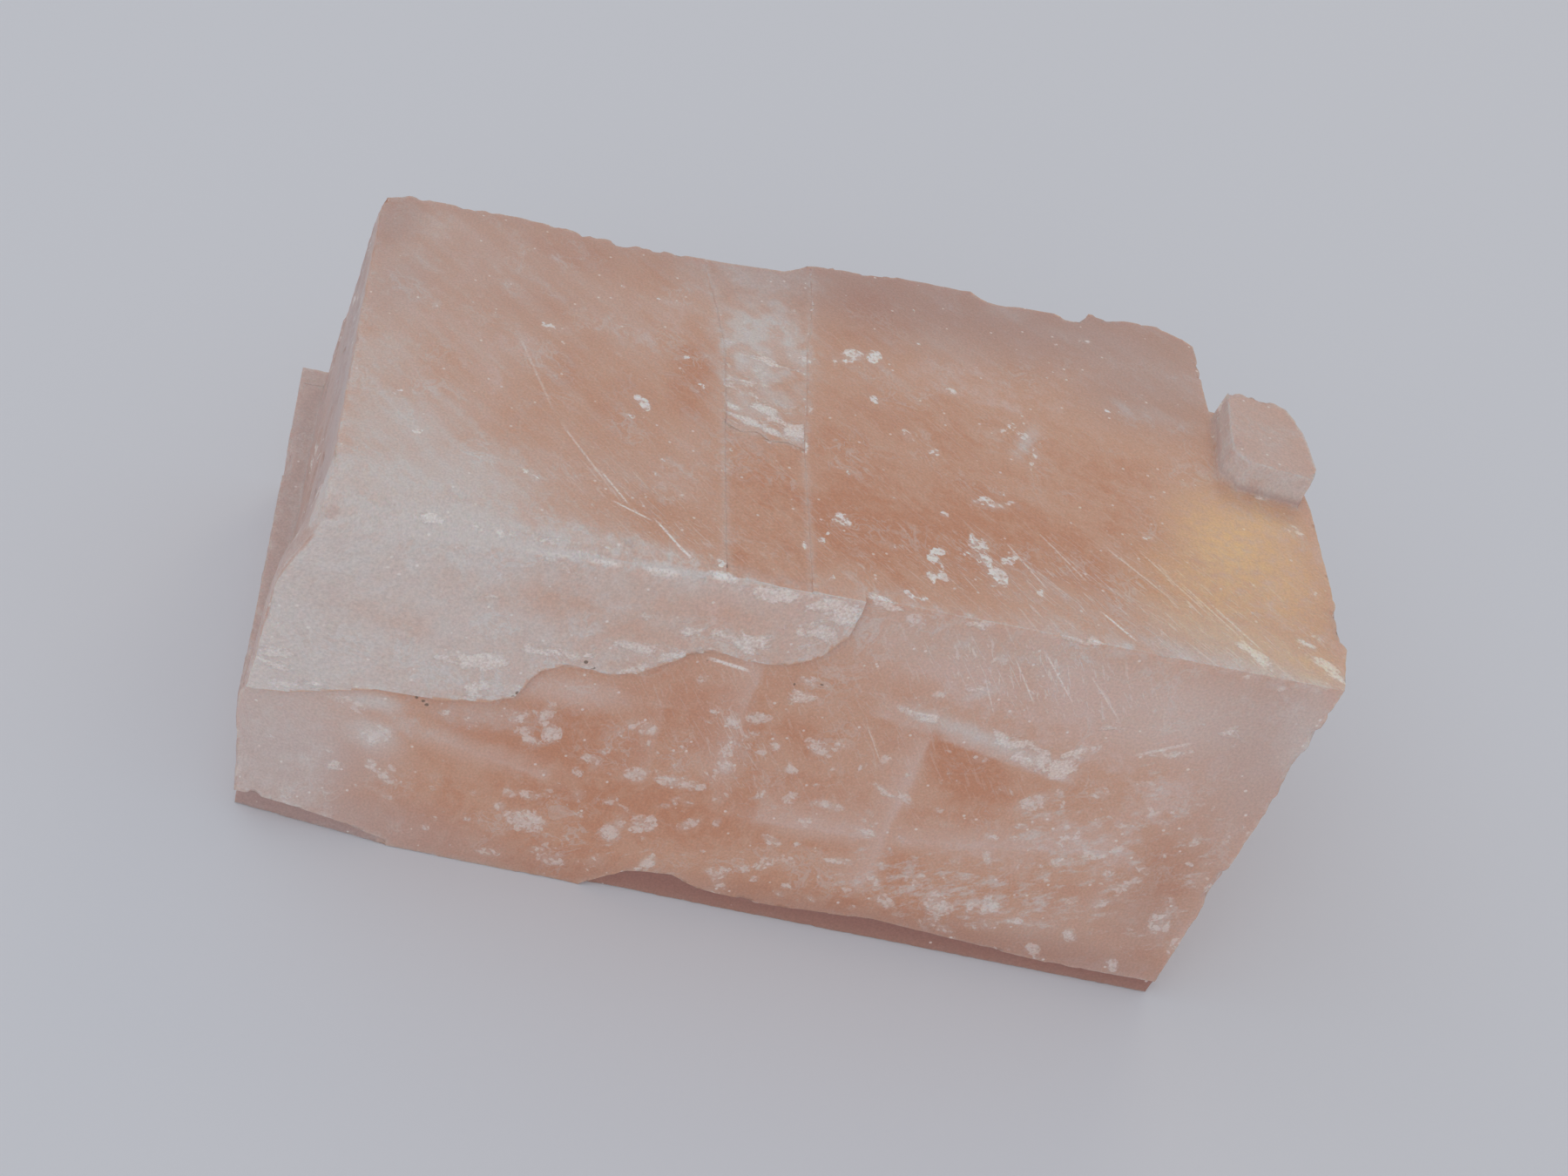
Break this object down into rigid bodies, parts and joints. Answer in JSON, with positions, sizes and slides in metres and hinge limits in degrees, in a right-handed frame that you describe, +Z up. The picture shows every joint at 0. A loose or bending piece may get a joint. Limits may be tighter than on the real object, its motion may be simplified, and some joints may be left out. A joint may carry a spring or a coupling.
{
  "type": "calcite crystal specimen",
  "caption": "Hand specimen of cloudy pink calcite: one long cleavage rhomb with stepped, chipped ends, lying on its lowest cleavage face.",
  "frame": {"origin": "middle of the bounding box's underside, on the plane of the face the crystal lies on", "axes": "+Z up, away from the face it lies on; +X along the longest edge, from the end with the ledge to the end with the small raised block; +Y away from the long front cleavage face"},
  "size_m": [0.0632, 0.0344, 0.0225],
  "materials": {
    "pink_calcite": "cloudy pink-orange calcite, translucent only at thin edges, satin cleavage faces with a pearly sheen and white crushed flecks"
  },
  "bodies": {
    "root": {"pink_calcite": "pink_calcite"}
  },
  "joints": []
}
